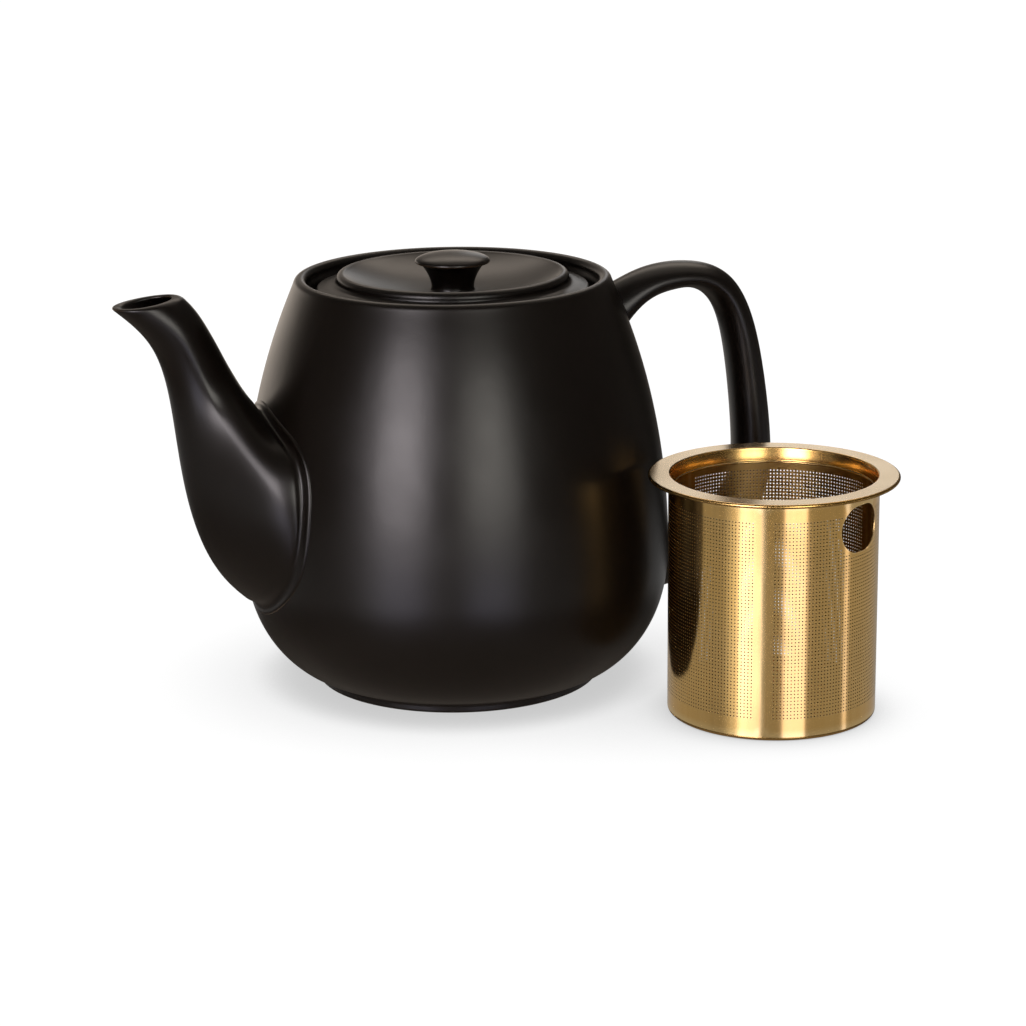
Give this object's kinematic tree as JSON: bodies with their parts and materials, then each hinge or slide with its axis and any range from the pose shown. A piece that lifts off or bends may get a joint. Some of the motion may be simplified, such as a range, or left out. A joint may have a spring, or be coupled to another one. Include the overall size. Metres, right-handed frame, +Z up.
{
  "type": "teapot with lift-out infuser",
  "caption": "Matte black ceramic teapot with a C-shaped handle, a curved spout, a dished lid with a disc knob, and a gold perforated steel infuser basket standing beside it.",
  "frame": {"origin": "centre of the pot's foot ring, on the table", "axes": "+Z up along the pot's axis, -X towards the spout, +X towards the handle"},
  "size_m": [0.2107, 0.1643, 0.1274],
  "materials": {
    "black_glaze": "matte black glaze with a soft satin sheen",
    "gold_steel": "polished stainless steel with a gold-coloured coating"
  },
  "bodies": {
    "teapot": {"pot_body": "black_glaze", "spout": "black_glaze", "handle": "black_glaze"},
    "lid": {"lid_plate": "black_glaze", "lid_knob": "black_glaze"},
    "infuser": {"infuser_rim": "gold_steel", "infuser_wall": "gold_steel", "infuser_base": "gold_steel"}
  },
  "joints": [
    {"name": "lid_lift", "type": "slide", "parent": "teapot", "child": "lid", "axis": [0, 0, 1], "range_m": [0, 0.08]},
    {"name": "infuser_lift", "type": "slide", "parent": "teapot", "child": "infuser", "axis": [0, 0, 1], "range_m": [0, 0.14]}
  ]
}
